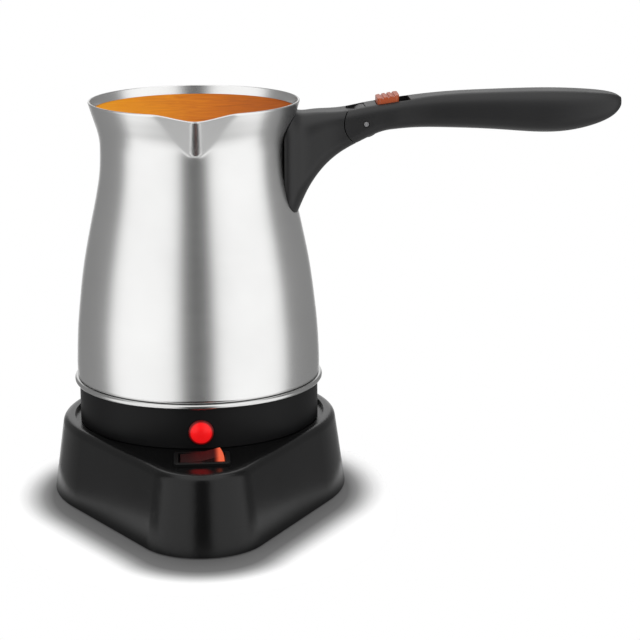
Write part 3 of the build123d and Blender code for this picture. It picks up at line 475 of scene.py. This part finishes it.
def spout_rise(height):
    """0 at the lower end of the spout's fold, 1 at its rim."""
    return (height / MM - SPOUT_LOW_Z) / (SPOUT_RIM_Z - SPOUT_LOW_Z)


def spout_radius(off, height, wall):
    """Distance of the spout's section from the axis: straight sides, joined by a round nose."""
    rise = spout_rise(height)
    if rise < -SPOUT_ROOT:
        return 0.0
    nose = (SPOUT_LOW_NOSE + rise * (SPOUT_RIM_NOSE - SPOUT_LOW_NOSE)) * MM - wall * SPOUT_SLANT
    rounding = SPOUT_NOSE_RADIUS - wall
    middle = nose - rounding
    sine, cosine = math.sin(SPOUT_HALF_ANGLE), math.cos(SPOUT_HALF_ANGLE)
    off = min(off, math.pi / 2 - SPOUT_HALF_ANGLE)
    if math.tan(off) * (middle + rounding * sine) < rounding * cosine:
        return middle * math.cos(off) + math.sqrt(rounding ** 2 - (middle * math.sin(off)) ** 2)
    apex = middle + rounding / sine
    return apex / (math.cos(off) + math.sin(off) / math.tan(SPOUT_HALF_ANGLE))


def vessel_ring(radius, height, wall):
    """One level of the vessel's wall, with the spout at the front."""
    lift = max(0.0, spout_rise(height))
    ring = []
    for turn in TURNS:
        off = abs((turn + math.pi) % math.tau - math.pi)
        reach = radius - wall
        z = height
        if off < SPOUT_FADE_TO:
            share = 1 - smooth_step(SPOUT_FADE_FROM, SPOUT_FADE_TO, off)
            spout = joined(reach, spout_radius(off, height, wall), SPOUT_BLEND)
            reach += share * (spout - reach)
            z -= SPOUT_DIP * lift * (1 - smooth_step(0.0, DIP_REACH, off))
        ring.append((reach * math.sin(turn), -reach * math.cos(turn), z))
    return ring


def round_ring(radius, height):
    """One level of a plain turned surface."""
    return [(radius * math.sin(turn), -radius * math.cos(turn), height) for turn in TURNS]


def make_vessel():
    """The steel vessel: up the outside from under its foot, over the lip and down the inside."""
    outside = vessel_profile()
    foot = outside[0][0]
    rings = [[(0, 0, FOOT_Z)]]
    for share in (0.3, 0.7, 0.95):
        rings.append(round_ring(LAP_INSIDE * share, FOOT_Z))
    rings += [
        round_ring(LAP_INSIDE, FOOT_Z), round_ring(LAP_INSIDE, LAP_Z + LAP_INNER_EDGE),
        round_ring(LAP_INSIDE + LAP_INNER_EDGE, LAP_Z), round_ring(foot - LAP_OUTER_EDGE, LAP_Z),
    ]
    rings += [vessel_ring(r, z, 0) for r, z in outside]
    lip = outside[-1][0]
    for angle in range(30, 151, 30):
        turn = math.radians(angle)
        rings.append(vessel_ring(
            lip, RIM_Z + LIP_RISE * math.sin(turn), WALL / 2 * (1 - math.cos(turn))
        ))
    floor_z = FOOT_Z + WALL
    inside = [(r, z) for r, z in reversed(outside) if z > floor_z + INSIDE_FROM]
    rings += [vessel_ring(r, z, WALL) for r, z in inside]
    corner = inside[-1][0]
    for angle in range(0, 91, 15):
        turn = math.radians(angle)
        rings.append(vessel_ring(
            corner - INSIDE_CORNER * (1 - math.cos(turn)),
            floor_z + INSIDE_CORNER * (1 - math.sin(turn)),
            WALL,
        ))
    for share in (0.6, 0.25):
        rings.append(round_ring(FOOT_RADIUS * share, floor_z))
    rings.append([(0, 0, floor_z)])
    mesh = ring_mesh("vessel_skin", rings)
    finish_piece("vessel_skin", mesh, SATIN_STEEL, "pot", "satin_steel", "pot_vessel")


# ------------------------------------------------------------------ coffee, bead and springs
COFFEE_Z = 151.3 * MM
COFFEE_GAP = 0.1 * MM
COFFEE_DEPTH = 1.2 * MM
# The coffee creeps up the wall by this much.
COFFEE_CREEP = 0.15 * MM

BEAD_INSIDE = 45.7 * MM
COLLAR_GAP = 0.1 * MM
GROOVE_WIDTH = 0.22 * MM
BEAD_STEPS = 3


def make_coffee():
    """The coffee's top layer, up to the vessel's wall and into the spout."""
    edge = min(vessel_profile(), key=lambda point: abs(point[1] - COFFEE_Z))[0]
    rim = vessel_ring(edge, COFFEE_Z, WALL + COFFEE_GAP)
    # (share of the way out to the wall, height over the coffee's level)
    levels = [(share, 0.0) for share in (0.2, 0.4, 0.6, 0.8, 0.92, 0.98)]
    levels += [(1.0, COFFEE_CREEP), (0.97, -COFFEE_DEPTH), (0.5, -COFFEE_DEPTH)]
    rings = [[(0, 0, COFFEE_Z)]]
    for share, rise in levels:
        rings.append([(x * share, y * share, COFFEE_Z + rise) for x, y, _ in rim])
    rings.append([(0, 0, COFFEE_Z - COFFEE_DEPTH)])
    finish_piece("coffee", ring_mesh("coffee", rings), FOAM, "pot", "orange_plastic")


def make_bead():
    """The trim ring: a collar inside the vessel's lap, a narrow groove and a round bead."""
    low = BEAD_LOW.z
    collar = LAP_INSIDE - COLLAR_GAP
    groove_z = LAP_Z - GROOVE_WIDTH
    top = (groove_z - low) / MM
    # The bead's outside in millimetres, from its top down: (radius, height over its foot).
    outline = [(47.1, top), (47.9, top - 0.03), (48.5, top - 0.2), (48.92, top - 0.55),
               (49.05, top / 2), (48.92, 0.7), (48.6, 0.35), (48.0, 0.1), (47.4, 0.0)]
    bead = smooth_line([(r * MM, low + rise * MM) for r, rise in outline], BEAD_STEPS)
    profile = [(BEAD_INSIDE, BEAD_HIGH.z), (collar, BEAD_HIGH.z), (collar, groove_z)]
    profile += bead + [(BEAD_INSIDE, low)]
    mesh = ring_mesh("bead", [round_ring(r, z) for r, z in profile], closed_tube=True)
    finish_piece("bead", mesh, POLISHED_STEEL, "pot", "bright_steel", "pot_trim_ring")


def make_springy(name, node, body):
    """A spring piece with the node's own shape."""
    mesh = NODES[node].data.copy()
    mesh.materials.clear()
    piece = finish_piece(name, mesh, SPRING_STEEL, body, "spring_steel", node)
    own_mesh(piece)


make_vessel()
make_coffee()
make_bead()
make_springy("latch_spring", "latch_return_spring", "grip")
make_springy("latch_tongue", "latch_leaf", "latch")


# ------------------------------------------------------------------ floor
# The sheet's radius, how much further it reaches at the front, and its middle.
FLOOR_RADIUS = 0.074
FLOOR_FRONT = 0.045
FLOOR_MIDDLE_Y = -0.005
FLOOR_STEPS = 96
FLOOR_GLOW = 0.4
# The base's outline: (middle, radius) of its back and of its front corner, with straight sides
# between them.
FRONT_CORNER = 0.0245
BASE_OUTLINE = ((0.0, BASE_HIGH.x), (BASE_LOW.y + FRONT_CORNER, FRONT_CORNER))
OUTLINE_STEPS = 12
# The painted shadow is the base's outline moved this far towards the front, so it is wider at
# the front, as under a light from above and a little from behind.
SHADOW_SHIFT = 0.0115
# The painted shadow's shades lie from so far inside the shifted outline to so far outside it.
SHADOW_INNER, SHADOW_OUTER = 0.01, 0.018
PAINTED_SHADOW_SHADES = [(0.0, 0.1), (0.37, 0.135), (0.5, 0.26), (0.62, 0.48), (0.75, 0.73), (0.87, 0.89),
                (1.0, 0.97)]


def floor_paper():
    """White paper with a painted shadow that makes it darker near the base, and that glows a
    little where it is seen or mirrored.
    """
    m = Shader("floor_paper")
    # The distance from the painted shadow's shifted outline: the least of those from circles
    # that fill it.
    distance = None
    for step in range(OUTLINE_STEPS + 1):
        share = step / OUTLINE_STEPS
        middle, radius = (a + share * (b - a) for a, b in zip(*BASE_OUTLINE))
        away = m.distance(m.coords, (0, middle - SHADOW_SHIFT, 0))
        outside = m.calc("SUBTRACT", away, radius)
        distance = m.calc("MINIMUM", distance, outside) if distance else outside
    # Painted shadow: the paper's colour and glow get darker the nearer it lies to the shifted
    # outline.
    painted_shadow = m.ramp(m.climb(distance, -SHADOW_INNER, SHADOW_OUTER), PAINTED_SHADOW_SHADES)
    m.into(painted_shadow, "Base Color")
    m.into(painted_shadow, "Emission Color")
    m.set(Roughness=1.0, Specular_IOR_Level=0.0)
    ray = m.node("ShaderNodeLightPath").outputs
    seen = m.calc("MAXIMUM", ray["Is Camera Ray"], ray["Is Glossy Ray"])
    seen = m.calc("MAXIMUM", seen, ray["Is Transmission Ray"])
    m.into(m.calc("MULTIPLY", seen, FLOOR_GLOW), "Emission Strength")
    return m.material


def make_floor():
    """A rounded sheet of white paper under the base, longer at the front."""
    mesh = bpy.data.meshes.new("floor")
    edge = []
    for step in range(FLOOR_STEPS):
        turn = math.tau * step / FLOOR_STEPS
        reach = FLOOR_RADIUS + FLOOR_FRONT * max(0.0, -math.sin(turn)) ** 2
        edge.append((reach * math.cos(turn), reach * math.sin(turn) + FLOOR_MIDDLE_Y, 0))
    mesh.from_pydata(edge, [], [tuple(range(FLOOR_STEPS))])
    mesh.materials.append(floor_paper())
    floor = bpy.data.objects.new("floor", mesh)
    bpy.context.scene.collection.objects.link(floor)


# ------------------------------------------------------------------ studio
# The studio's walls by direction round the pot: (degrees from the front, brightness).
# 0 is the front, where the camera stands, and it is counted towards the handle.
WALLS = [(-180, 0.27), (-98, 0.29), (-86, 1.24), (-22, 1.24), (-13.5, 0.07), (11, 0.07),
         (18, 1.24), (85, 1.24), (94, 0.29), (180, 0.27)]
# (where it begins, where it is complete, in degrees over the horizon, and its brightness)
CEILING = (50, 68, 1.5)
GROUND = (-30, -50, 0.6)
# The white backdrop begins and is complete at these degrees from the front, on both sides.
BACKDROP = (158, 166)


def make_world():
    """Two big soft boxes at the front's sides, with a dark gap between them, grey walls behind
    and a pale ceiling. The camera sees plain white in place of all this."""
    world = bpy.data.worlds.new("studio")
    bpy.context.scene.world = world
    world.use_nodes = True
    world.node_tree.nodes.clear()
    w = Nodes(world.node_tree)
    way = w.axes(w.node("ShaderNodeTexCoord").outputs["Generated"])
    angle = w.calc("ARCTAN2", way["X"], w.calc("MULTIPLY", way["Y"], -1.0))
    share = w.calc("ADD", w.calc("DIVIDE", angle, math.tau), 0.5)
    # A ramp holds values up to 1, so it is a share of the brightest wall.
    top = max(value for _, value in WALLS)
    walls = w.ramp(share, [(degrees / 360 + 0.5, value / top) for degrees, value in WALLS])
    level = w.calc("MULTIPLY", walls, top)
    for begin, complete, value in (CEILING, GROUND):
        low, high = (math.sin(math.radians(degrees)) for degrees in (begin, complete))
        mixed = w.node("ShaderNodeMix", data_type="FLOAT")
        w.link(w.climb(way["Z"], low, high, kind="SMOOTHSTEP"), mixed.inputs["Factor"])
        w.link(level, mixed.inputs["A"])
        mixed.inputs["B"].default_value = value
        level = mixed.outputs["Result"]
    studio = w.node("ShaderNodeBackground")
    w.link(level, studio.inputs["Strength"])
    white = w.node("ShaderNodeBackground")
    white.inputs["Strength"].default_value = 1.0
    for background in (studio, white):
        background.inputs["Color"].default_value = (1, 1, 1, 1)
    # Metal and glass show the white backdrop where it hangs, behind the pot. The rest is the
    # studio.
    begin, complete = (math.radians(degrees) for degrees in BACKDROP)
    behind = w.climb(w.calc("ABSOLUTE", angle), begin, complete, kind="SMOOTHSTEP")
    ray = w.node("ShaderNodeLightPath").outputs
    mirrored = w.calc("MAXIMUM", ray["Is Glossy Ray"], ray["Is Transmission Ray"])
    seen = w.calc("MAXIMUM", ray["Is Camera Ray"], w.calc("MULTIPLY", mirrored, behind))
    either = w.node("ShaderNodeMixShader")
    w.link(seen, either.inputs["Fac"])
    w.link(studio.outputs[0], either.inputs[1])
    w.link(white.outputs[0], either.inputs[2])
    w.link(either.outputs[0], w.node("ShaderNodeOutputWorld").inputs["Surface"])


# ------------------------------------------------------------------ camera
CAMERA_PLACE = Vector((-6.88, -820.0, 274.35)) * MM
# In degrees: to the right, down, and about its own axis.
CAMERA_PAN, CAMERA_TILT, CAMERA_ROLL = 3.86, 14.23, -0.24
# In millimetres.
CAMERA_LENS, CAMERA_SENSOR = 119.88, 36.0
CAMERA_CLIP = 0.05


def make_camera():
    pan, tilt, roll = (math.radians(angle) for angle in (CAMERA_PAN, CAMERA_TILT, CAMERA_ROLL))
    ahead = Vector((
        math.sin(pan) * math.cos(tilt), math.cos(pan) * math.cos(tilt), -math.sin(tilt)
    ))
    level = Vector((math.cos(pan), -math.sin(pan), 0))
    upright = level.cross(ahead)
    right = math.cos(roll) * level + math.sin(roll) * upright
    up = -math.sin(roll) * level + math.cos(roll) * upright
    data = bpy.data.cameras.new("camera")
    data.sensor_width = CAMERA_SENSOR
    data.lens = CAMERA_LENS
    data.clip_start = CAMERA_CLIP
    camera = bpy.data.objects.new("camera", data)
    bpy.context.scene.collection.objects.link(camera)
    camera.matrix_world = Matrix((
        (right.x, up.x, -ahead.x, CAMERA_PLACE.x),
        (right.y, up.y, -ahead.y, CAMERA_PLACE.y),
        (right.z, up.z, -ahead.z, CAMERA_PLACE.z),
        (0, 0, 0, 1),
    ))
    bpy.context.scene.camera = camera


make_floor()
make_world()
make_camera()
bpy.context.scene.view_settings.view_transform = "Standard"
